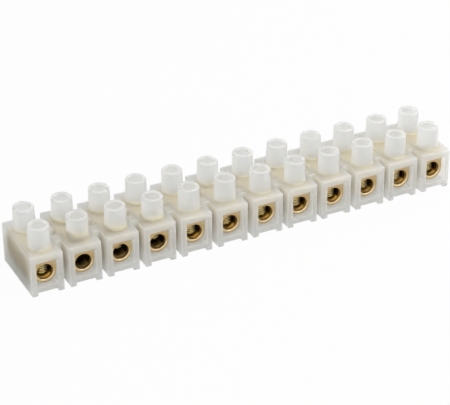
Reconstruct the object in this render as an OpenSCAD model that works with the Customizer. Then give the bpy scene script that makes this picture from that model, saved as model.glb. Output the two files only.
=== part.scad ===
// Screw connector strip: a one-piece moulded plastic housing of twelve poles in a row.
// Each pole holds a brass insert with a through bore for the wires and two captive clamping
// screws, one in the front tower and one in the rear tower.
// Millimetres. X runs along the row, the wires enter along Y, Z is up.
// The origin is the centre of the row, on the surface that the feet stand on.

/* [Strip] */
// Distance from one pole to the next
pitch = 10; // [9.8:0.1:12]
// Depth of a pole from its front face to its rear face
body_d = 19.3; // [18.9:0.1:22]
// Height of a pole from the underside of its feet to its flat top
body_h = 11; // [10.8:0.1:12.5]
// Gap between two neighbouring poles
slot_w = 1.6; // [1.4:0.1:1.8]
// How far the gap reaches in from the front and from the rear
slot_d = 5; // [4:0.1:6]
// Rounding of the outer edges of a pole
edge_r = 0.35; // [0.2:0.05:0.45]

/* [Feet] */
// Width of each of the two feet that run along the underside of a pole
foot_w = 1.5; // [1.2:0.1:2]
// Height of the feet
foot_h = 1.1; // [0.8:0.1:1.3]

/* [Fixing holes] */
// Diameter of the hole for a fixing screw in each web between two poles
fixing_d = 3; // [2.4:0.1:3.2]

/* [Wire channel] */
// Width of the channel that the insert lies in
channel_w = 5.9; // [5.7:0.1:6]
// Plastic left under the channel, above the feet
floor_t = 1.2; // [1:0.1:1.5]
// Plastic left over the channel
roof_t = 1.8; // [1.6:0.1:2.2]
// Radius of the lower corners of the channel
channel_r = 0.3; // [0.2:0.05:0.8]

/* [Insert] */
// Clearance between the insert and the walls of its channel
insert_gap = 0.05; // [0.03:0.01:0.1]
// How far the ends of the insert lie back from the front and rear faces
recess = 1.9; // [1.4:0.1:2.2]
// Diameter of the wire bore
wire_d = 3.85; // [3.7:0.05:4]
// Diameter of the lead-in at each mouth of the bore
mouth_d = 4.2; // [4.2:0.05:4.6]
// Length of the straight part of the lead-in
mouth_l = 0.7; // [0.5:0.1:0.9]
// Length of the funnel from the lead-in down to the bore
funnel_l = 0.6; // [0.3:0.1:0.7]
// Chamfer round the mouth
mouth_chamfer = 0.1; // [0.1:0.05:0.25]
// Countersink at the top of each tapped hole
tap_sink = 0.3; // [0.2:0.05:0.4]

/* [Towers] */
// Distance from the axis of a tower to the nearer end of the pole
tower_inset = 4.85; // [4.5:0.05:5]
// Outer diameter of a tower at its foot
tower_d = 5.6; // [5.5:0.1:6]
// Outer diameter of a tower at its top
tower_top_d = 5.35; // [5.25:0.05:5.5]
// Height of a tower above the flat top of the pole
tower_h = 6.1; // [5.6:0.1:7]
// Rounding of the outer top edge of a tower
tower_round = 0.4; // [0.3:0.05:0.6]
// Fillet where a tower stands on the pole
tower_fillet = 0.5; // [0.3:0.05:0.6]
// Diameter of the mouth that the screwdriver goes through
lip_d = 3.7; // [3.3:0.05:3.8]
// Thickness of the lip that keeps the screw in
lip_t = 0.9; // [0.7:0.05:1.1]
// Chamfer round the inside of the lip
lip_chamfer = 0.25; // [0.15:0.05:0.3]

/* [Screws] */
// Diameter of the screw thread
screw_d = 3; // [2.8:0.1:3]
// Diameter of the screw head
head_d = 4; // [3.9:0.05:4.1]
// Height of the screw head
head_h = 1.5; // [1.2:0.1:1.7]
// Width of the screwdriver slot
drive_w = 0.7; // [0.5:0.05:0.9]
// Depth of the screwdriver slot
drive_t = 0.8; // [0.5:0.05:0.9]
// Chamfer round the tip of the screw
tip_chamfer = 0.3; // [0.2:0.05:0.6]
// Radial clearance of the thread in its tapped hole
thread_gap = 0.05; // [0.03:0.01:0.08]
// Radial clearance of the head in its tower
head_gap = 0.15; // [0.1:0.01:0.2]
// Clearance under the head of a screw that is fully down, and over one that is fully up
stop_gap = 0.05; // [0.03:0.01:0.1]
// Clearance between the tip of a screw that is fully down and the floor of the wire bore
tip_gap = 0.08; // [0.05:0.01:0.2]

/* [Hidden] */
poles = 12;
// how far each screw is backed out, as a share of its travel, from the first pole to the last
front_out = [0.01, 0.46, 0.27, 0.25, 0.01, 0.02, 0.01, 0.02, 0.01, 0.02, 0.01, 0.02];
rear_out = [0.04, 0.2, 0.17, 0.06, 0.04, 0.13, 0.05, 0.04, 0.07, 0.04, 0.05, 0.04];
// angle of the screwdriver slot from one screw to the next
drive_angle = 47;
// moulding mark on the side of the last pole: its diameter and height, its place behind the front
// face and above the feet
nub_d = 1;
nub_h = 0.2;
nub_back = 0.8;
nub_z = 4;

$fn = 64;
cut = 0.5;

pole_w = pitch - slot_w;
web_d = body_d - 2 * slot_d;
row_l = (poles - 1) * pitch;
channel_z = foot_h + floor_t;
channel_top = body_h - roof_t;
insert_w = channel_w - 2 * insert_gap;
insert_l = body_d - 2 * recess;
insert_z = channel_z + insert_gap;
insert_top = channel_top - insert_gap;
bore_z = insert_z + insert_w / 2;
tap_d = screw_d + 2 * thread_gap;
well_d = head_d + 2 * head_gap;
tower_y = body_d / 2 - tower_inset;
tower_top = body_h + tower_h;
lip_z = tower_top - lip_t;
// underside of the head of a screw that is fully down, and how far the screw can rise from there
screw_low = insert_top + stop_gap;
travel = lip_z - stop_gap - head_h - screw_low;
// the screw reaches down to where the edge of its tip meets the round floor of the wire bore
tip_r = screw_d / 2 - tip_chamfer;
bore_floor = bore_z - sqrt(pow(wire_d / 2, 2) - pow(tip_r, 2));
shank_l = screw_low - bore_floor - tip_gap;

function two_digits(k) = str(k < 10 ? "0" : "", k);
function numbered(name) = [for (k = [1:poles]) str(name, "_", two_digits(k))];
function pole_x(k) = (k - 1) * pitch - row_l / 2;

// rectangle centred on X, standing on the X axis, with four round corners
module rounded_rect(w, h, r) {
    translate([-w / 2, r]) square([w, h - 2 * r]);
    translate([r - w / 2, 0]) square([w - 2 * r, h]);
    for (x = [r - w / 2, w / 2 - r], y = [r, h - r]) translate([x, y]) circle(r);
}

// extrudes a drawing in X and Z along Y, centred on the origin
module along_y(length) {
    translate([0, length / 2, 0]) rotate([90, 0, 0]) linear_extrude(length) children();
}

// extrudes a drawing in Y and Z along X, centred on the origin
module along_x(length) {
    translate([-length / 2, 0, 0]) rotate([90, 0, 90]) linear_extrude(length) children();
}

// one pole without its towers: a block on two feet, with its edges rounded all round
module pole_block() {
    intersection() {
        along_y(body_d) difference() {
            rounded_rect(pole_w, body_h, edge_r);
            translate([foot_w - pole_w / 2, -cut]) square([pole_w - 2 * foot_w, foot_h + cut]);
        }
        along_x(pole_w) rounded_rect(body_d, body_h, edge_r);
        translate([0, -body_d / 2, 0]) linear_extrude(body_h) rounded_rect(pole_w, body_d, edge_r);
    }
}

// web that joins a pole to the next one, between the two gaps
module web() {
    translate([pole_w / 2 - edge_r, -web_d / 2, foot_h])
        cube([slot_w + 2 * edge_r, web_d, body_h - foot_h]);
}

// outer form of a tower: a slightly tapered post with a fillet at its foot and a round top edge
module tower_post() {
    top_r = tower_top_d / 2;
    foot_r = tower_d / 2;
    translate([0, 0, body_h]) rotate_extrude() {
        polygon([
            [0, -cut], [foot_r, -cut], [foot_r, 0],
            [top_r, tower_h - tower_round], [0, tower_h - tower_round]
        ]);
        square([top_r - tower_round, tower_h]);
        translate([top_r - tower_round, tower_h - tower_round]) circle(tower_round);
        difference() {
            translate([foot_r - cut, -cut]) square([tower_fillet + cut, tower_fillet + cut]);
            translate([foot_r + tower_fillet, tower_fillet]) circle(tower_fillet);
        }
    }
}

// hollow of a tower: the well that the screw head travels in, and the narrower mouth over it
module tower_hollow() {
    translate([0, 0, channel_top - cut]) cylinder(d = well_d, h = lip_z - channel_top + cut);
    translate([0, 0, lip_z - cut]) cylinder(d = lip_d, h = lip_t + 2 * cut);
    translate([0, 0, tower_top - lip_chamfer])
        cylinder(d1 = lip_d, d2 = lip_d + 4 * lip_chamfer, h = 2 * lip_chamfer);
}

// channel for the insert, open at the front and the rear
module channel() {
    top_h = channel_top - channel_z;
    translate([0, 0, channel_z]) along_y(body_d + 2 * cut) {
        translate([channel_r - channel_w / 2, 0]) square([channel_w - 2 * channel_r, top_h]);
        translate([-channel_w / 2, channel_r]) square([channel_w, top_h - channel_r]);
        for (x = [channel_r - channel_w / 2, channel_w / 2 - channel_r])
            translate([x, channel_r]) circle(channel_r);
    }
}

// small round moulding mark on the side of the last pole, rooted in the wall
module moulding_mark() {
    translate([pole_x(poles) - pole_w / 2 + edge_r, nub_back - body_d / 2, nub_z])
        rotate([0, -90, 0]) cylinder(d = nub_d, h = nub_h + edge_r);
}

module at_towers() {
    for (y = [-tower_y, tower_y]) translate([0, y, 0]) children();
}

module housing() {
    color([0.86, 0.87, 0.84]) difference() {
        union() {
            for (k = [1:poles]) translate([pole_x(k), 0, 0]) {
                pole_block();
                at_towers() tower_post();
            }
            for (k = [1:poles - 1]) translate([pole_x(k), 0, 0]) web();
            moulding_mark();
        }
        for (k = [1:poles]) translate([pole_x(k), 0, 0]) {
            channel();
            at_towers() tower_hollow();
        }
        for (k = [1:poles - 1]) translate([pole_x(k) + pitch / 2, 0, 0])
            cylinder(d = fixing_d, h = body_h + cut);
    }
}

// brass insert: round below and flat on top, bored along Y, with two tapped holes from above
module insert() {
    color([0.78, 0.6, 0.24]) difference() {
        along_y(insert_l) {
            translate([0, bore_z]) circle(d = insert_w);
            translate([-insert_w / 2, bore_z]) square([insert_w, insert_top - bore_z]);
        }
        along_y(insert_l + 2 * cut) translate([0, bore_z]) circle(d = wire_d);
        for (side = [0, 180]) rotate([0, 0, side]) translate([0, -insert_l / 2, bore_z])
            rotate([-90, 0, 0]) {
                translate([0, 0, -cut]) cylinder(d = mouth_d, h = mouth_l + cut);
                translate([0, 0, mouth_l]) cylinder(d1 = mouth_d, d2 = wire_d, h = funnel_l);
                translate([0, 0, -mouth_chamfer])
                    cylinder(d1 = mouth_d + 4 * mouth_chamfer, d2 = mouth_d, h = 2 * mouth_chamfer);
            }
        at_towers() {
            translate([0, 0, bore_z]) cylinder(d = tap_d, h = insert_top - bore_z + cut);
            translate([0, 0, insert_top - tap_sink])
                cylinder(d1 = tap_d, d2 = tap_d + 4 * tap_sink, h = 2 * tap_sink);
        }
    }
}

// slotted clamping screw with its head's underside at the height z
module screw(z, turn) {
    color([0.74, 0.62, 0.34]) translate([0, 0, z]) rotate([0, 0, turn]) difference() {
        union() {
            cylinder(d = head_d, h = head_h);
            translate([0, 0, tip_chamfer - shank_l]) cylinder(d = screw_d, h = shank_l - tip_chamfer + cut);
            translate([0, 0, -shank_l])
                cylinder(r1 = tip_r, d2 = screw_d, h = tip_chamfer);
        }
        translate([-head_d / 2 - cut, -drive_w / 2, head_h - drive_t])
            cube([head_d + 2 * cut, drive_w, drive_t + cut]);
    }
}

housing();
for (k = [1:poles]) translate([pole_x(k), 0, 0]) {
    insert();
    translate([0, -tower_y, 0]) screw(screw_low + front_out[k - 1] * travel, k * drive_angle);
    translate([0, tower_y, 0]) screw(screw_low + rear_out[k - 1] * travel, -k * drive_angle);
}
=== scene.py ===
"""Looks of a screw connector strip: milky moulded housing, brass inserts and threaded screws."""

import logging
import math
from dataclasses import dataclass
from enum import Enum

import bmesh
import bpy
from mathutils import Matrix, Vector


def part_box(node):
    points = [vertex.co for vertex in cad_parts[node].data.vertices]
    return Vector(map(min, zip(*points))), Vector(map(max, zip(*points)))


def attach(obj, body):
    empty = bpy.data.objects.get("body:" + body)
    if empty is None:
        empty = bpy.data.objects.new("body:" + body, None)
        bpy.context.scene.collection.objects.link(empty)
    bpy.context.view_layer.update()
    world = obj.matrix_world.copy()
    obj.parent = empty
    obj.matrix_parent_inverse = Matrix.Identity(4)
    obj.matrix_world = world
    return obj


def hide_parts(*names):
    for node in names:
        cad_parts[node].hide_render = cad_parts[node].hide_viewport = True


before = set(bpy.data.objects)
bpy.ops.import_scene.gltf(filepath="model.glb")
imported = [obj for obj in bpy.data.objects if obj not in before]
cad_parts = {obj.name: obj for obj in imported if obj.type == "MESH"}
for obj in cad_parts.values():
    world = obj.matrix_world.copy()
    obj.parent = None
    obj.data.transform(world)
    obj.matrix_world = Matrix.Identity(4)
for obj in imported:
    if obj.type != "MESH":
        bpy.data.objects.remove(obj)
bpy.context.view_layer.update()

Colour = tuple[float, float, float]
Point = tuple[float, float, float]
Run = tuple[float, float]
Socket = bpy.types.NodeSocket

MM = 0.001
POLES = 12
PITCH = 10.0 * MM
SLACK = 0.01 * MM
MERGE = 0.002 * MM
UNIT: Run = (0.0, 1.0)
NOISE_RUN: Run = (0.3, 0.7)
WHITE = (1.0, 1.0, 1.0, 1.0)
SCREW_TURN_DEG = 47
LOG = logging.getLogger("connector_strip")


class Side(Enum):
    """Row of towers that a screw stands in."""

    FRONT = "front"
    REAR = "rear"


class Lay(Enum):
    """Direction that the fine marks of a metal finish run in."""

    BORED = (30.0, 2600.0, 30.0)
    TURNED = (30.0, 30.0, 3200.0)


@dataclass(frozen=True)
class Pattern:
    """Noise pattern, for a colour or for relief.

    Attributes:
        scale: number of features in a metre.
        detail: number of finer layers.
        depth: depth of its relief.
        strength: share of the relief that shows.
    """

    scale: float
    detail: float
    depth: float = 0.0
    strength: float = 0.0


class Nodes:
    """Node tree, with short ways to add and join nodes."""

    def __init__(self, tree: bpy.types.NodeTree, out: str) -> None:
        """Empties a node tree and gives it an output.

        Args:
            tree: node tree to fill.
            out: Blender's name of its output node.
        """
        self.tree = tree
        self.tree.nodes.clear()
        self.out = self.add(out)

    def add(self, kind: str, **inputs: object) -> bpy.types.Node:
        """Adds a node.

        Args:
            kind: Blender's name of the node type.
            inputs: values for its sockets, with spaces in their names written as underscores.

        Returns:
            The new node.
        """
        node = self.tree.nodes.new(kind)
        for key, value in inputs.items():
            node.inputs[key.replace("_", " ")].default_value = value
        return node

    def join(self, source: Socket, target: Socket) -> None:
        """Links one socket to another."""
        self.tree.links.new(source, target)

    def show(self, shader: Socket) -> None:
        """Puts a shader on the output."""
        self.join(shader, self.out.inputs["Surface"])

    def mix(self, share: Socket, first: Socket, second: Socket) -> Socket:
        """Mixes two shaders.

        Args:
            share: how much of the second shows, from 0 to 1.
            first: first shader.
            second: second shader.

        Returns:
            The mixed shader's socket.
        """
        node = self.add("ShaderNodeMixShader")
        for socket, source in zip(node.inputs, (share, first, second)):
            self.join(source, socket)
        return node.outputs["Shader"]

    def maths(self, rule: str, first: Socket | float, second: Socket | float = 0.0) -> Socket:
        """Adds a step of arithmetic.

        Args:
            rule: Blender's name of the operation.
            first: first value or its socket.
            second: second value or its socket.

        Returns:
            The result's socket.
        """
        node = self.add("ShaderNodeMath")
        node.operation = rule
        for socket, value in zip(node.inputs, (first, second)):
            if isinstance(value, float):
                socket.default_value = value
            else:
                self.join(value, socket)
        return node.outputs["Value"]

    def ramp(self, value: Socket, run: Run, to: Run = UNIT, rule: str = "LINEAR") -> Socket:
        """Spreads a value over a run, and holds it at the ends.

        Args:
            value: value that it follows.
            run: values that give the first and the second result.
            to: the two results.
            rule: Blender's name of the curve between them.

        Returns:
            The result's socket.
        """
        node = self.add(
            "ShaderNodeMapRange", From_Min=run[0], From_Max=run[1], To_Min=to[0], To_Max=to[1]
        )
        node.interpolation_type = rule
        self.join(value, node.inputs["Value"])
        return node.outputs["Result"]

    def fade(self, value: Socket, run: Run) -> Socket:
        """Gives 0 at the first value of a run and 1 at the second, with a soft way between."""
        return self.ramp(value, run, rule="SMOOTHSTEP")

    def sight(self, mirrored: float = 1.0) -> Socket:
        """Tells what is seen, straight, in a reflection or through plastic, from what lights.

        Args:
            mirrored: share for what is seen in a reflection or through plastic.

        Returns:
            A socket with 1 for straight sight, that share for the others and 0 for light.
        """
        path = self.add("ShaderNodeLightPath").outputs
        other = self.maths("MAXIMUM", path["Is Glossy Ray"], path["Is Transmission Ray"])
        other = self.maths("SUBTRACT", other, path["Is Diffuse Ray"])
        return self.maths("MAXIMUM", path["Is Camera Ray"], self.maths("MULTIPLY", other, mirrored))


class Graph(Nodes):
    """Node tree of one material."""

    def __init__(self, name: str) -> None:
        """Starts a material with only its output.

        Args:
            name: name of the material.
        """
        self.material = bpy.data.materials.new(name)
        self.material.use_nodes = True
        super().__init__(self.material.node_tree, "ShaderNodeOutputMaterial")

    def coordinates(self, stretch: Point = (1.0, 1.0, 1.0)) -> Socket:
        """Gives object coordinates.

        Args:
            stretch: scale of the pattern along X, Y and Z.

        Returns:
            The vector socket to read.
        """
        place = self.add("ShaderNodeTexCoord")
        mapping = self.add("ShaderNodeMapping", Scale=stretch)
        self.join(place.outputs["Object"], mapping.inputs["Vector"])
        return mapping.outputs["Vector"]

    def axes(self) -> bpy.types.NodeOutputs:
        """Gives the object coordinates one by one.

        Returns:
            Their sockets, under X, Y and Z.
        """
        node = self.add("ShaderNodeSeparateXYZ")
        self.join(self.coordinates(), node.inputs["Vector"])
        return node.outputs

    def pole_space(self) -> tuple[Socket, Socket, Socket]:
        """Gives coordinates that start afresh at the middle of each pole.

        Returns:
            The distance along the row from the middle of the nearest pole, and Y and Z.
        """
        axes = self.axes()
        turns = self.maths("FRACT", self.maths("DIVIDE", axes["X"], PITCH))
        across = self.maths("MULTIPLY", self.maths("SUBTRACT", turns, 0.5), PITCH)
        return across, axes["Y"], axes["Z"]

    def reach(self, first: Socket, second: Socket) -> Socket:
        """Gives the distance from an axis, from two coordinates across it."""
        squares = [self.maths("MULTIPLY", value, value) for value in (first, second)]
        return self.maths("SQRT", self.maths("ADD", *squares))

    def noise(self, vector: Socket, pattern: Pattern) -> Socket:
        """Adds a noise pattern.

        Args:
            vector: coordinates that it reads.
            pattern: its features.

        Returns:
            Its value, from 0 to 1.
        """
        node = self.add("ShaderNodeTexNoise", Scale=pattern.scale, Detail=pattern.detail)
        self.join(vector, node.inputs["Vector"])
        return node.outputs["Fac"]

    def relief(self, vector: Socket, pattern: Pattern, under: Socket | None = None) -> Socket:
        """Adds relief from a noise pattern.

        Args:
            vector: coordinates that it reads.
            pattern: its features and depth.
            under: coarser relief that it lies on.

        Returns:
            The normal socket.
        """
        node = self.add("ShaderNodeBump", Strength=pattern.strength, Distance=pattern.depth)
        self.join(self.noise(vector, pattern), node.inputs["Height"])
        if under is not None:
            self.join(under, node.inputs["Normal"])
        return node.outputs["Normal"]

    def between(self, value: Socket, run: Run, low: Colour, high: Colour) -> Socket:
        """Turns a value into a colour.

        Args:
            value: value from 0 to 1.
            run: values at which the two colours stand.
            low: first colour.
            high: second colour.

        Returns:
            The colour socket.
        """
        node = self.add("ShaderNodeValToRGB")
        for stop, place, colour in zip(node.color_ramp.elements, run, (low, high)):
            stop.position = place
            stop.color = (*colour, 1.0)
        self.join(value, node.inputs["Fac"])
        return node.outputs["Color"]

    def blend(self, share: Socket, under: Socket, over: Colour) -> Socket:
        """Lays a plain colour over another.

        Args:
            share: how much of it covers, from 0 to 1.
            under: colour below it.
            over: the plain colour.

        Returns:
            The colour socket.
        """
        node = self.add("ShaderNodeMix")
        node.data_type = "RGBA"
        self.join(share, node.inputs["Factor"])
        self.join(under, node.inputs["A"])
        node.inputs["B"].default_value = (*over, 1.0)
        return node.outputs["Result"]


@dataclass(frozen=True)
class MilkyPlastic:
    """Translucent moulded plastic: light goes into it and brings out what lies behind a wall, with
    painted light on the walls of its gaps and wire entries and a painted warm tint near the insert.

    Attributes:
        name: name of the material.
        clear: colour where the plastic is clearest.
        cloudy: colour where it is cloudiest.
        cloud_run: values of the clouds that give the cloudy and the clear colour.
        clouds: pattern of the clouds.
        grain: fine relief of the mould.
        sinks: coarse relief of the sink marks.
        gloss: roughness from cloudy to clear.
        ior: index of refraction.
        reach: how deep red, green and blue light go, as shares of the depth below.
        reach_scale: depth that light goes in before it scatters.
        let_through: share of the light that passes a wall.
        glow: tint of what passes straight on.
        lit_tone: colour of the light that comes from inside.
        lit_share: share of that light in the solid body.
        lit_run: heights, just over the body's top, from none of that share to all of it.
        haze_blur: roughness of the view into the plastic.
        haze_ior: index of refraction of that view.
        see: share of that view away from the insert and close to it.
        see_gap: share of that view in the gaps and windows.
        tinge_far: tint of that view away from the insert.
        painted_brass_tint: tint of that view close to the insert, warm as painted light from the
            brass behind the wall.
        core_half: half sizes of the insert's core along X, Y and Z.
        core_z: height of the core's middle.
        cover_run: thickness over the core from hidden to plainly seen.
        gap_painted_light: painted light on the walls of the gaps between poles, brighter than the
            plastic and warm as painted glow of the brass behind them.
        gap_across: distance from a pole's middle past which a wall is in a gap.
        gap_run: depths along Y, from none of the gap's painted light to all of it.
        row_half: half length of the row, short of its end faces.
        window_painted_light: painted light on the walls of the wire entries, brighter than the
            plastic.
        window_across: half width of a wire entry.
        window_high: half height of a wire entry.
        window_run: depths along Y, from none of the window's painted light to all of it.
    """

    name: str = "milky_plastic"
    clear: Colour = (0.80, 0.815, 0.815)
    cloudy: Colour = (0.76, 0.775, 0.77)
    cloud_run: Run = (0.35, 0.65)
    clouds: Pattern = Pattern(140.0, 3.0)
    grain: Pattern = Pattern(2400.0, 2.0, 0.02 * MM, 0.25)
    sinks: Pattern = Pattern(420.0, 1.0, 0.10 * MM, 0.12)
    gloss: Run = (0.34, 0.46)
    ior: float = 1.49
    reach: Colour = (1.0, 1.0, 1.0)
    reach_scale: float = 12.0 * MM
    let_through: float = 0.85
    glow: Colour = (0.98, 0.99, 1.0)
    lit_tone: Colour = (0.86, 0.86, 0.83)
    lit_share: float = 0.3
    lit_run: Run = (11.6 * MM, 11.05 * MM)
    haze_blur: float = 0.6
    haze_ior: float = 1.3
    see: Run = (0.15, 0.46)
    see_gap: float = 0.24
    tinge_far: Colour = (0.80, 0.81, 0.82)
    painted_brass_tint: Colour = (0.82, 0.80, 0.72)
    core_half: Point = (2.9 * MM, 7.1 * MM, 3.3 * MM)
    core_z: float = 5.75 * MM
    cover_run: Run = (3.2 * MM, 1.1 * MM)
    gap_painted_light: Colour = (0.96, 0.88, 0.73)
    gap_across: float = 4.1 * MM
    gap_run: Run = (8.8 * MM, 7.7 * MM)
    row_half: float = 58.5 * MM
    window_painted_light: Colour = (0.86, 0.855, 0.82)
    window_across: float = 3.02 * MM
    window_high: float = 3.4 * MM
    window_run: Run = (9.6 * MM, 9.3 * MM)

    def nearness(self, graph: Graph) -> Socket:
        """Tells how little plastic covers the insert of the pole.

        Args:
            graph: node tree to add to.

        Returns:
            A socket with 1 close to the insert and 0 away from it.
        """
        across, along, height = graph.pole_space()
        squares = []
        places = (across, along, graph.maths("SUBTRACT", height, self.core_z))
        for place, half in zip(places, self.core_half):
            past = graph.maths("SUBTRACT", graph.maths("ABSOLUTE", place), half)
            out = graph.maths("MAXIMUM", past, 0.0)
            squares.append(graph.maths("MULTIPLY", out, out))
        total = graph.maths("ADD", graph.maths("ADD", squares[0], squares[1]), squares[2])
        return graph.fade(graph.maths("SQRT", total), self.cover_run)

    def lit(self, graph: Graph) -> Socket:
        """Gives the share of light from inside, which the solid body shows and the towers don't."""
        _, _, height = graph.pole_space()
        return graph.maths("MULTIPLY", graph.fade(height, self.lit_run), self.lit_share)

    def in_gap(self, graph: Graph) -> Socket:
        """Tells the walls of the gaps between poles, where light goes from wall to wall and the
        plastic gets painted light and a painted warm glow of the brass.

        Args:
            graph: node tree to add to.

        Returns:
            A socket with 1 on those walls and 0 elsewhere.
        """
        across, along, _ = graph.pole_space()
        row = graph.maths("ABSOLUTE", graph.axes()["X"])
        beside = graph.maths("GREATER_THAN", graph.maths("ABSOLUTE", across), self.gap_across)
        inside = graph.maths("LESS_THAN", row, self.row_half)
        deep = graph.ramp(graph.maths("ABSOLUTE", along), self.gap_run)
        return graph.maths("MULTIPLY", graph.maths("MULTIPLY", beside, inside), deep)

    def in_window(self, graph: Graph) -> Socket:
        """Tells the walls of the wire entries in front of the insert, which get painted light.

        Args:
            graph: node tree to add to.

        Returns:
            A socket with 1 on those walls and 0 elsewhere.
        """
        across, along, height = graph.pole_space()
        rise = graph.maths("ABSOLUTE", graph.maths("SUBTRACT", height, self.core_z))
        wide = graph.maths("LESS_THAN", graph.maths("ABSOLUTE", across), self.window_across)
        high = graph.maths("LESS_THAN", rise, self.window_high)
        deep = graph.fade(graph.maths("ABSOLUTE", along), self.window_run)
        return graph.maths("MULTIPLY", graph.maths("MULTIPLY", wide, high), deep)

    def let_pass(self, graph: Graph) -> Socket:
        """Gives the share that goes straight on: light partly, and all that leaves the plastic.

        Args:
            graph: node tree to add to.

        Returns:
            The share's socket.
        """
        path = graph.add("ShaderNodeLightPath").outputs
        sides = graph.add("ShaderNodeNewGeometry")
        light = graph.maths("MAXIMUM", path["Is Shadow Ray"], path["Is Diffuse Ray"])
        light = graph.maths("MULTIPLY", light, self.let_through)
        return graph.maths("MAXIMUM", light, sides.outputs["Backfacing"])

    def solid(self, graph: Graph, gap: Socket, window: Socket) -> Socket:
        """Adds the plastic that scatters light inside.

        Args:
            graph: node tree to add to.
            gap: share of the gap walls.
            window: share of the window walls.

        Returns:
            The shader's socket.
        """
        place = graph.coordinates()
        clouds = graph.noise(place, self.clouds)
        node = graph.add(
            "ShaderNodeBsdfPrincipled",
            Subsurface_Weight=1.0,
            Subsurface_Scale=self.reach_scale,
            Subsurface_Radius=self.reach,
            IOR=self.ior,
        )
        node.subsurface_method = "RANDOM_WALK"
        plain = graph.between(clouds, self.cloud_run, self.cloudy, self.clear)
        # painted light: the walls of the wire entries are brighter than the plastic, where they lie
        # in shade
        plain = graph.blend(window, plain, self.window_painted_light)
        # painted light: the walls of the gaps between poles are brighter and warmer, for light and
        # brass glow through the walls
        graph.join(graph.blend(gap, plain, self.gap_painted_light), node.inputs["Base Color"])
        graph.join(graph.ramp(clouds, NOISE_RUN, self.gloss), node.inputs["Roughness"])
        sinks = graph.relief(place, self.sinks)
        graph.join(graph.relief(place, self.grain, sinks), node.inputs["Normal"])
        return node.outputs["BSDF"]

    def material(self) -> bpy.types.Material:
        """Builds the material.

        Returns:
            The plastic.
        """
        graph = Graph(self.name)
        gap, window = self.in_gap(graph), self.in_window(graph)
        lit = graph.add("ShaderNodeBsdfTranslucent", Color=(*self.lit_tone, 1.0))
        body = graph.mix(self.lit(graph), self.solid(graph, gap, window), lit.outputs["BSDF"])
        nearness = self.nearness(graph)
        haze = graph.add("ShaderNodeBsdfRefraction", Roughness=self.haze_blur, IOR=self.haze_ior)
        # painted light: close to the insert the view into the plastic is tinted warm, for the brass
        # behind the wall
        tinge = graph.between(nearness, UNIT, self.tinge_far, self.painted_brass_tint)
        graph.join(tinge, haze.inputs["Color"])
        less = graph.ramp(
            graph.maths("MAXIMUM", gap, window), UNIT, (1.0, self.see_gap / self.see[1])
        )
        see = graph.maths("MULTIPLY", graph.ramp(nearness, UNIT, self.see), less)
        inner = graph.mix(see, body, haze.outputs["BSDF"])
        clear = graph.add("ShaderNodeBsdfTransparent", Color=(*self.glow, 1.0))
        graph.show(graph.mix(self.let_pass(graph), inner, clear.outputs["BSDF"]))
        return graph.material


@dataclass(frozen=True)
class WorkedMetal:
    """Machined metal with fine tool marks and a little tarnish.

    Attributes:
        name: name of the material.
        bright: colour where it is bright.
        dull: colour where it is tarnished.
        lay: direction of the tool marks.
        gloss: roughness from dull to bright.
        metal: how metallic it is.
        marks: relief of the tool marks.
        tarnish: pattern of the tarnish.
        tarnish_run: values of the tarnish that give the dull and the bright colour.
    """

    name: str
    bright: Colour
    dull: Colour
    lay: Lay
    gloss: Run
    metal: float = 1.0
    marks: Pattern = Pattern(1.0, 3.0, 0.02 * MM, 0.35)
    tarnish: Pattern = Pattern(700.0, 4.0)
    tarnish_run: Run = (0.35, 0.6)

    def colour(self, graph: Graph, tarnish: Socket) -> Socket:
        """Gives the colour of the metal from the pattern of its tarnish."""
        return graph.between(tarnish, self.tarnish_run, self.dull, self.bright)

    def material(self) -> bpy.types.Material:
        """Builds the material.

        Returns:
            The metal.
        """
        graph = Graph(self.name)
        tarnish = graph.noise(graph.coordinates(), self.tarnish)
        node = graph.add("ShaderNodeBsdfPrincipled", Metallic=self.metal)
        graph.join(self.colour(graph, tarnish), node.inputs["Base Color"])
        graph.join(graph.ramp(tarnish, NOISE_RUN, self.gloss), node.inputs["Roughness"])
        relief = graph.relief(graph.coordinates(self.lay.value), self.marks)
        graph.join(relief, node.inputs["Normal"])
        graph.show(node.outputs["BSDF"])
        return graph.material


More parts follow.
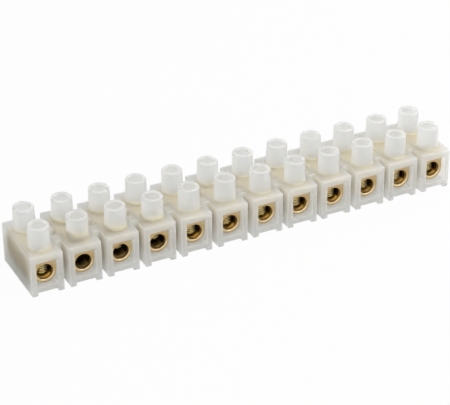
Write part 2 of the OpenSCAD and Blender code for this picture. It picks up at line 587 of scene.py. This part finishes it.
@dataclass(frozen=True)
class SkinnedBrass(WorkedMetal):
    """Brass that is bright where it was bored and cut to length, under a dark drawn skin, with
    painted shade on the end face and deep in the bore and painted light on the bore's floor.

    Attributes:
        skin: colour of the drawn sides.
        skin_r: distance from the bore's axis past which a side is drawn.
        ring: colour of the cut end.
        end_y: depth along Y past which a face is an end.
        end_painted_shade: painted shade, colour of the end face round and above the mouth.
        end_shade_out: distances from the bore's axis, from none of that painted shade to all of it.
        end_shade_up: heights over the bore's axis, from none of that painted shade to all of it.
        corner_painted_shade: painted shade, colour of the end's corners.
        corner_shade_out: distances from the bore's axis, from none of that painted shade to all of
            it.
        mouth_r: radius that holds the inside of the bore.
        bore_z: height of the bore's axis.
        floor: painted light, bright colour of the bore's floor behind the mouth.
        deep: painted shade, colour of the dark inside of the bore.
        bore_shade_in: depths along Y, from none of that painted shade to all of it.
        bore_shade_up: heights over the bore's axis, from none of that painted shade to all of it.
    """

    name: str = "bored_brass"
    bright: Colour = (0.66, 0.49, 0.25)
    dull: Colour = (0.48, 0.34, 0.15)
    lay: Lay = Lay.BORED
    gloss: Run = (0.46, 0.32)
    skin: Colour = (0.74, 0.63, 0.40)
    skin_r: float = 2.45 * MM
    ring: Colour = (0.84, 0.70, 0.46)
    end_y: float = 7.72 * MM
    end_painted_shade: Colour = (0.60, 0.44, 0.22)
    end_shade_out: Run = (2.4 * MM, 2.65 * MM)
    end_shade_up: Run = (-1.2 * MM, 0.8 * MM)
    corner_painted_shade: Colour = (0.62, 0.52, 0.34)
    corner_shade_out: Run = (2.85 * MM, 3.25 * MM)
    mouth_r: float = 2.05 * MM
    bore_z: float = 5.25 * MM
    floor: Colour = (0.95, 0.70, 0.28)
    deep: Colour = (0.10, 0.06, 0.02)
    bore_shade_in: Run = (6.3 * MM, 4.2 * MM)
    bore_shade_up: Run = (-1.5 * MM, -0.9 * MM)

    def colour(self, graph: Graph, tarnish: Socket) -> Socket:
        """Gives the colour of the brass by its place about the bore, with painted shade and painted
        light in it.

        Args:
            graph: node tree to add to.
            tarnish: pattern of the tarnish.

        Returns:
            The colour socket.
        """
        across, along, height = graph.pole_space()
        up = graph.maths("SUBTRACT", height, self.bore_z)
        out = graph.reach(across, up)
        depth = graph.maths("ABSOLUTE", along)
        end = graph.maths("GREATER_THAN", depth, self.end_y)
        colour = graph.blend(end, super().colour(graph, tarnish), self.ring)
        # painted shade: the end face darker above the bore's axis and away from the mouth, as under
        # the entry's roof
        end_painted_shade = graph.maths(
            "MAXIMUM", graph.fade(out, self.end_shade_out), graph.fade(up, self.end_shade_up)
        )
        colour = graph.blend(graph.maths("MULTIPLY", end, end_painted_shade), colour, self.end_painted_shade)
        # painted shade: the end face's corners darker
        corner_painted_shade = graph.maths("MULTIPLY", end, graph.fade(out, self.corner_shade_out))
        colour = graph.blend(corner_painted_shade, colour, self.corner_painted_shade)
        # painted light: the bore's floor behind the mouth bright gold, as if lit
        inside = graph.maths("LESS_THAN", out, self.mouth_r)
        colour = graph.blend(inside, colour, self.floor)
        # painted shade: the bore dark deep in and everywhere above its lowest part near the mouth
        deep = graph.maths(
            "MAXIMUM", graph.fade(depth, self.bore_shade_in), graph.fade(up, self.bore_shade_up)
        )
        colour = graph.blend(graph.maths("MULTIPLY", inside, deep), colour, self.deep)
        outside = graph.maths("GREATER_THAN", out, self.skin_r)
        along_side = graph.maths("LESS_THAN", depth, self.end_y)
        return graph.blend(graph.maths("MULTIPLY", outside, along_side), colour, self.skin)


@dataclass(frozen=True)
class GrooveDarkScrew(WorkedMetal):
    """Plated screw with bright crests, darker towards the roots of its thread.

    Attributes:
        groove_dark: colour towards the roots of the thread.
        axis_y: distance of a screw's axis from the middle of the strip.
        groove: radii from none of the darkening to all of it.
    """

    name: str = "plated_screw"
    bright: Colour = (0.98, 0.88, 0.54)
    dull: Colour = (0.88, 0.76, 0.42)
    lay: Lay = Lay.TURNED
    gloss: Run = (0.32, 0.2)
    metal: float = 0.75
    groove_dark: Colour = (0.30, 0.23, 0.08)
    axis_y: float = 4.8 * MM
    groove: Run = (1.46 * MM, 1.24 * MM)

    def colour(self, graph: Graph, tarnish: Socket) -> Socket:
        """Gives the colour of the screw, by its distance from the screw's axis.

        Args:
            graph: node tree to add to.
            tarnish: pattern of the tarnish.

        Returns:
            The colour socket.
        """
        across, along, _ = graph.pole_space()
        off = graph.maths("SUBTRACT", graph.maths("ABSOLUTE", along), self.axis_y)
        # darker towards the roots of the thread, by distance from the screw's axis
        groove = graph.fade(graph.reach(across, off), self.groove)
        return graph.blend(groove, super().colour(graph, tarnish), self.groove_dark)


@dataclass
class FramePiece:
    """Piece of the frame that only gets a finish.

    Attributes:
        node: name of the piece.
    """

    node: str

    def dress(self, finish: bpy.types.Material) -> None:
        """Puts a material on every slot of the piece.

        Args:
            finish: material that it gets.
        """
        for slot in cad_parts[self.node].material_slots:
            slot.material = finish


@dataclass
class Housing(FramePiece):
    """One-piece moulded housing, shown as the frame has it."""

    node: str = "housing"


@dataclass
class Insert(FramePiece):
    """Brass insert of one pole, shown as the frame has it."""


def pull_up(shape: bmesh.types.BMesh, faces: list[bmesh.types.BMFace], height: float) -> None:
    """Extrudes faces straight up.

    Args:
        shape: mesh that they belong to.
        faces: faces to extrude.
        height: how far they go.
    """
    pulled = bmesh.ops.extrude_face_region(shape, geom=faces)["geom"]
    top = [g for g in pulled if isinstance(g, bmesh.types.BMVert)]
    bmesh.ops.translate(shape, verts=top, vec=(0, 0, height))


def ring_edges(shape: bmesh.types.BMesh, height: float, radius: float) -> list[bmesh.types.BMEdge]:
    """Finds the edges of a rim about the Z axis.

    Args:
        shape: mesh to look in.
        height: height of the rim.
        radius: radius of the rim.

    Returns:
        The edges that lie on it.
    """
    return [
        e
        for e in shape.edges
        if all(
            abs(v.co.z - height) < SLACK and abs(v.co.xy.length - radius) < SLACK for v in e.verts
        )
    ]


def closed(shape: bmesh.types.BMesh) -> bmesh.types.BMesh:
    """Merges doubled points and turns every face outwards.

    Args:
        shape: mesh of one closed shell.

    Returns:
        The same mesh.
    """
    bmesh.ops.remove_doubles(shape, verts=shape.verts, dist=MERGE)
    bmesh.ops.recalc_face_normals(shape, faces=shape.faces)
    return shape


@dataclass
class ClampScrew:
    """Slotted screw with a rolled thread, which stands for the plain screw of the frame.

    Attributes:
        node: name of the plain screw.
        turn: turn of the slot about Z.
        head_r: radius of the head.
        head_h: height of the head.
        slot_w: width of the slot.
        slot_d: depth of the slot.
        rim: rounding of the head's rims.
        rim_steps: number of steps in that rounding.
        crest_r: radius of the thread's crests.
        root_r: radius of the thread's roots.
        pitch: rise of the thread in a turn.
        crest_share: half width of a crest, as a share of the pitch.
        base_share: half width of the ridge's base, as a share of the pitch.
        base_sink: how far the ridge's base lies inside the core.
        run_out: plain length under the head.
        lead_in: height over the tip at which the thread starts.
        tip_r: radius of the flat of the tip.
        tip_dish: hollow in the middle of the tip.
        tip_gap: least height of the thread over the tip.
        least_r: least radius that the thread is drawn in to.
        sides: number of sides of a circle.
        smooth_deg: angle up to which two faces are shaded as one.
    """

    node: str
    turn: float
    head_r: float = 2.0 * MM
    head_h: float = 1.5 * MM
    slot_w: float = 0.7 * MM
    slot_d: float = 0.8 * MM
    rim: float = 0.22 * MM
    rim_steps: int = 3
    crest_r: float = 1.49 * MM
    root_r: float = 1.2 * MM
    pitch: float = 0.5 * MM
    crest_share: float = 0.07
    base_share: float = 0.46
    base_sink: float = 0.08 * MM
    run_out: float = 0.1 * MM
    lead_in: float = 0.05 * MM
    tip_r: float = 1.2 * MM
    tip_dish: float = 0.03 * MM
    tip_gap: float = 0.02 * MM
    least_r: float = 0.5 * MM
    sides: int = 40
    smooth_deg: float = 35

    def head(self) -> bmesh.types.BMesh:
        """Makes the head, with its underside at the origin.

        Returns:
            A closed disc with a slot across it.
        """
        shape = bmesh.new()
        bmesh.ops.create_circle(shape, cap_ends=True, radius=self.head_r, segments=self.sides)
        floor = self.head_h - self.slot_d
        pull_up(shape, shape.faces[:], floor)
        for way in (-1, 1):
            lid = [f for f in shape.faces if f.calc_center_median().z > floor - SLACK]
            geom = lid + [e for f in lid for e in f.edges] + [v for f in lid for v in f.verts]
            bmesh.ops.bisect_plane(
                shape,
                geom=list(dict.fromkeys(geom)),
                plane_co=(0, way * self.slot_w / 2, 0),
                plane_no=(0, 1, 0),
            )
        lid = [f for f in shape.faces if f.calc_center_median().z > floor - SLACK]
        lands = [f for f in lid if abs(f.calc_center_median().y) > self.slot_w / 2]
        pull_up(shape, lands, self.slot_d)
        rims = ring_edges(shape, self.head_h, self.head_r) + ring_edges(shape, 0.0, self.head_r)
        bmesh.ops.bevel(
            shape,
            geom=rims,
            offset=self.rim,
            segments=self.rim_steps,
            profile=0.5,
            affect="EDGES",
            material=-1,
        )
        return closed(shape)

    def core(self, length: float) -> bmesh.types.BMesh:
        """Makes the root cylinder of the thread with its chamfered tip.

        Args:
            length: length below the head.

        Returns:
            A closed body of revolution.
        """
        shape = bmesh.new()
        chamfer = self.crest_r - self.tip_r
        outline = [
            (0.0, self.head_h / 4),
            (self.root_r, self.head_h / 4),
            (self.root_r, chamfer - length - (self.crest_r - self.root_r)),
            (self.tip_r, -length),
            (0.0, self.tip_dish - length),
        ]
        points = [shape.verts.new((x, 0, z)) for x, z in outline]
        line = [shape.edges.new(pair) for pair in zip(points, points[1:])]
        bmesh.ops.spin(
            shape,
            geom=points + line,
            cent=(0, 0, 0),
            axis=(0, 0, 1),
            angle=2 * math.pi,
            steps=self.sides,
            use_merge=True,
        )
        return closed(shape)

    def thread(self, length: float) -> bmesh.types.BMesh:
        """Makes the helical ridge of the thread.

        Args:
            length: length below the head.

        Returns:
            A closed ridge that winds round the core.
        """
        shape = bmesh.new()
        turns = math.floor((length - self.run_out) / self.pitch)
        start = self.lead_in - length
        inner = self.root_r - self.base_sink
        outline = [
            (inner, -self.base_share * self.pitch),
            (self.crest_r, -self.crest_share * self.pitch),
            (self.crest_r, self.crest_share * self.pitch),
            (inner, self.base_share * self.pitch),
        ]
        points = [shape.verts.new((x, 0, start + z)) for x, z in outline]
        face = shape.faces.new(points)
        bmesh.ops.spin(
            shape,
            geom=points + face.edges[:] + [face],
            cent=(0, 0, 0),
            axis=(0, 0, 1),
            dvec=(0, 0, self.pitch / self.sides),
            angle=2 * math.pi * turns,
            steps=turns * self.sides,
            use_duplicate=False,
        )
        for v in shape.verts:
            limit = self.tip_r + (v.co.z + length)
            reach = v.co.xy.length
            if reach > limit:
                share = max(limit, self.least_r) / reach
                v.co.x *= share
                v.co.y *= share
            v.co.z = max(v.co.z, self.tip_gap - length)
        bmesh.ops.recalc_face_normals(shape, faces=shape.faces)
        return shape

    def build(self, finish: bpy.types.Material) -> bpy.types.Object:
        """Builds the screw where the frame has it, and lets it stand for the frame's screw.

        Args:
            finish: material of the screw.

        Returns:
            The finished piece.
        """
        low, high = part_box(self.node)
        length = high.z - low.z - self.head_h
        mesh = bpy.data.meshes.new(self.node + "_threaded")
        whole = bmesh.new()
        for part in (self.head(), self.core(length), self.thread(length)):
            part.to_mesh(mesh)
            part.free()
            whole.from_mesh(mesh)
        middle = ((low.x + high.x) / 2, (low.y + high.y) / 2, high.z - self.head_h)
        place = Matrix.Translation(middle) @ Matrix.Rotation(self.turn, 4, "Z")
        bmesh.ops.transform(whole, matrix=place, verts=whole.verts)
        whole.to_mesh(mesh)
        whole.free()
        mesh.materials.append(finish)
        mesh.shade_smooth()
        mesh.set_sharp_from_angle(angle=math.radians(self.smooth_deg))
        piece = bpy.data.objects.new(self.node + "_threaded", mesh)
        bpy.context.scene.collection.objects.link(piece)
        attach(piece, self.node)
        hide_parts(self.node)
        return piece


def facing(place: Point, target: Point = (0.0, 0.0, 0.0)) -> Matrix:
    """Gives the turn of a camera or lamp that stands at one point and looks at another."""
    return (Vector(target) - Vector(place)).to_track_quat("-Z", "Y").to_matrix().to_4x4()


@dataclass(frozen=True)
class Lamp:
    """Square soft lamp that points at the strip.

    Attributes:
        name: name of the lamp.
        place: where it hangs.
        size: length of its side.
        power: its power in watts.
        tint: colour of its light.
    """

    name: str
    place: Point
    size: float
    power: float
    tint: Colour

    def hang(self) -> None:
        """Puts the lamp in its place."""
        data = bpy.data.lights.new(self.name, "AREA")
        data.shape = "SQUARE"
        data.size = self.size
        data.energy = self.power
        data.color = self.tint
        item = bpy.data.objects.new(self.name, data)
        item.matrix_world = Matrix.Translation(self.place) @ facing(self.place)
        bpy.context.scene.collection.objects.link(item)


@dataclass
class Studio:
    """Pale floor, soft lamps, bright surroundings and the camera.

    Attributes:
        eye: where the camera stands.
        aim: point that it looks at.
        roll_deg: its roll about its own axis.
        lens_mm: focal length of its lens.
        sensor_mm: width of its sensor.
        clip_near: distance at which its view begins.
        floor_half: half of the floor's side.
        floor_paint: colour of the floor where light falls on it.
        floor_mirrored: share of white where the floor is seen in metal or through plastic.
        shadow_share: share of the lit floor in what the camera sees.
        sky_tint: colour of the light from the surroundings.
        sky_levels: strength of that light from the left and from the right.
        lamps: the lamps.
    """

    eye: Point = (-0.1778533, -0.3478965, 0.2360749)
    aim: Point = (-0.003307, -0.001655, 0.00749)
    roll_deg: float = -0.256
    lens_mm: float = 141.69
    sensor_mm: float = 36.0
    clip_near: float = 0.01
    floor_half: float = 4.0
    floor_paint: Colour = (0.66, 0.66, 0.66)
    floor_mirrored: float = 0.32
    shadow_share: float = 0.05
    sky_tint: Colour = (1.0, 0.99, 0.97)
    sky_levels: Run = (0.37, 0.625)
    lamps: tuple[Lamp, ...] = (
        Lamp("key_lamp", (0.30, -0.13, 0.36), 0.35, 1.5, (1.0, 0.99, 0.97)),
        Lamp("front_lamp", (-0.25, -0.85, 0.5), 0.4, 2.7, (1.0, 0.99, 0.97)),
        Lamp("back_lamp", (-0.2, 0.8, 0.7), 0.8, 2.05, (0.98, 0.99, 1.0)),
    )

    def camera(self) -> None:
        """Places the camera."""
        data = bpy.data.cameras.new("camera")
        data.lens = self.lens_mm
        data.sensor_width = self.sensor_mm
        data.sensor_fit = "HORIZONTAL"
        data.clip_start = self.clip_near
        item = bpy.data.objects.new("camera", data)
        bpy.context.scene.collection.objects.link(item)
        roll = Matrix.Rotation(math.radians(self.roll_deg), 4, "Z")
        item.matrix_world = Matrix.Translation(self.eye) @ (facing(self.eye, self.aim) @ roll)
        bpy.context.scene.camera = item

    def world(self) -> None:
        """Makes the surroundings: white to see, softer and brighter to the right as a light."""
        world = bpy.data.worlds.new("surroundings")
        world.use_nodes = True
        nodes = Nodes(world.node_tree, "ShaderNodeOutputWorld")
        way = nodes.add("ShaderNodeTexCoord")
        axes = nodes.add("ShaderNodeSeparateXYZ")
        nodes.join(way.outputs["Generated"], axes.inputs["Vector"])
        light = nodes.add("ShaderNodeBackground", Color=(*self.sky_tint, 1.0))
        level = nodes.ramp(axes.outputs["X"], (-1.0, 1.0), self.sky_levels)
        nodes.join(level, light.inputs["Strength"])
        white = nodes.add("ShaderNodeBackground", Color=WHITE)
        backgrounds = light.outputs["Background"], white.outputs["Background"]
        nodes.show(nodes.mix(nodes.sight(), *backgrounds))
        bpy.context.scene.world = world

    def floor(self) -> None:
        """Lays the pale floor that the feet stand on: white to see, with a trace of shadow."""
        graph = Graph("pale_floor")
        paint = graph.add("ShaderNodeBsdfDiffuse", Color=(*self.floor_paint, 1.0))
        white = graph.add("ShaderNodeEmission", Color=WHITE, Strength=1.0)
        sight = graph.sight(self.floor_mirrored)
        share = graph.maths("MULTIPLY", sight, 1.0 - self.shadow_share)
        graph.show(graph.mix(share, paint.outputs["BSDF"], white.outputs["Emission"]))
        shape = bmesh.new()
        bmesh.ops.create_grid(shape, x_segments=1, y_segments=1, size=self.floor_half)
        mesh = bpy.data.meshes.new("pale_floor")
        shape.to_mesh(mesh)
        shape.free()
        mesh.materials.append(graph.material)
        item = bpy.data.objects.new("pale_floor", mesh)
        bpy.context.scene.collection.objects.link(item)

    def build(self) -> None:
        """Sets the camera, the surroundings, the floor and the lamps."""
        self.camera()
        self.world()
        self.floor()
        for lamp in self.lamps:
            lamp.hang()


def main() -> None:
    """Builds the pieces in order and dresses them."""
    bpy.context.scene.view_settings.view_transform = "Standard"
    plastic = MilkyPlastic().material()
    brass = SkinnedBrass().material()
    plated = GrooveDarkScrew().material()
    housing = Housing()
    housing.dress(plastic)
    LOG.info("%s dressed", housing.node)
    for k in range(1, POLES + 1):
        insert = Insert(f"insert_{k:02d}")
        insert.dress(brass)
        LOG.info("%s dressed", insert.node)
    for side, way in ((Side.FRONT, 1), (Side.REAR, -1)):
        for k in range(1, POLES + 1):
            turn = way * math.radians(SCREW_TURN_DEG * k)
            piece = ClampScrew(f"screw_{side.value}_{k:02d}", turn).build(plated)
            LOG.info("%s built", piece.name)
    Studio().build()


if __name__ == "__main__":
    logging.basicConfig(level=logging.INFO)
    main()
